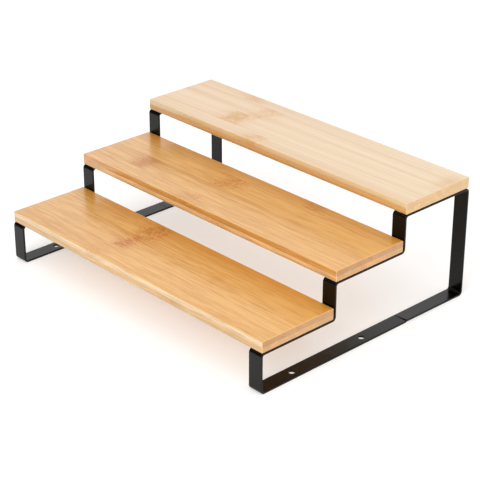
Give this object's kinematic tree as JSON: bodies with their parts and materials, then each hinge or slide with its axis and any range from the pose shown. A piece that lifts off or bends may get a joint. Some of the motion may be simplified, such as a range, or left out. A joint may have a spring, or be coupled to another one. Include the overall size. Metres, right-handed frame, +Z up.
{
  "type": "tiered shelf riser",
  "caption": "Stepped countertop riser with flat bamboo shelf boards carried on bent flat-steel side frames, for jars, tins and small bottles.",
  "frame": {"origin": "on the surface that the rails stand on, in the middle of the footprint", "axes": "+X along the boards, to the right of a person facing the front; +Y from the low front board to the high rear board; +Z up"},
  "size_m": [0.38, 0.285, 0.1324],
  "materials": {
    "lower_bamboo": "satin clear lacquer on two-ply laminated bamboo, honey coloured",
    "middle_bamboo": "satin clear lacquer on two-ply laminated bamboo, honey coloured",
    "upper_bamboo": "satin clear lacquer on two-ply laminated bamboo, paler than the others",
    "powder_coat": "satin black powder coat on bent flat steel strip",
    "screw_steel": "black zinc-plated steel"
  },
  "bodies": {
    "root": {"lower_board": "lower_bamboo", "middle_board": "middle_bamboo", "upper_board": "upper_bamboo", "left_side_frame": "powder_coat", "right_side_frame": "powder_coat", "lower_left_screw": "screw_steel", "lower_right_screw": "screw_steel", "middle_left_screw": "screw_steel", "middle_right_screw": "screw_steel", "upper_left_screw": "screw_steel", "upper_right_screw": "screw_steel"}
  },
  "joints": []
}
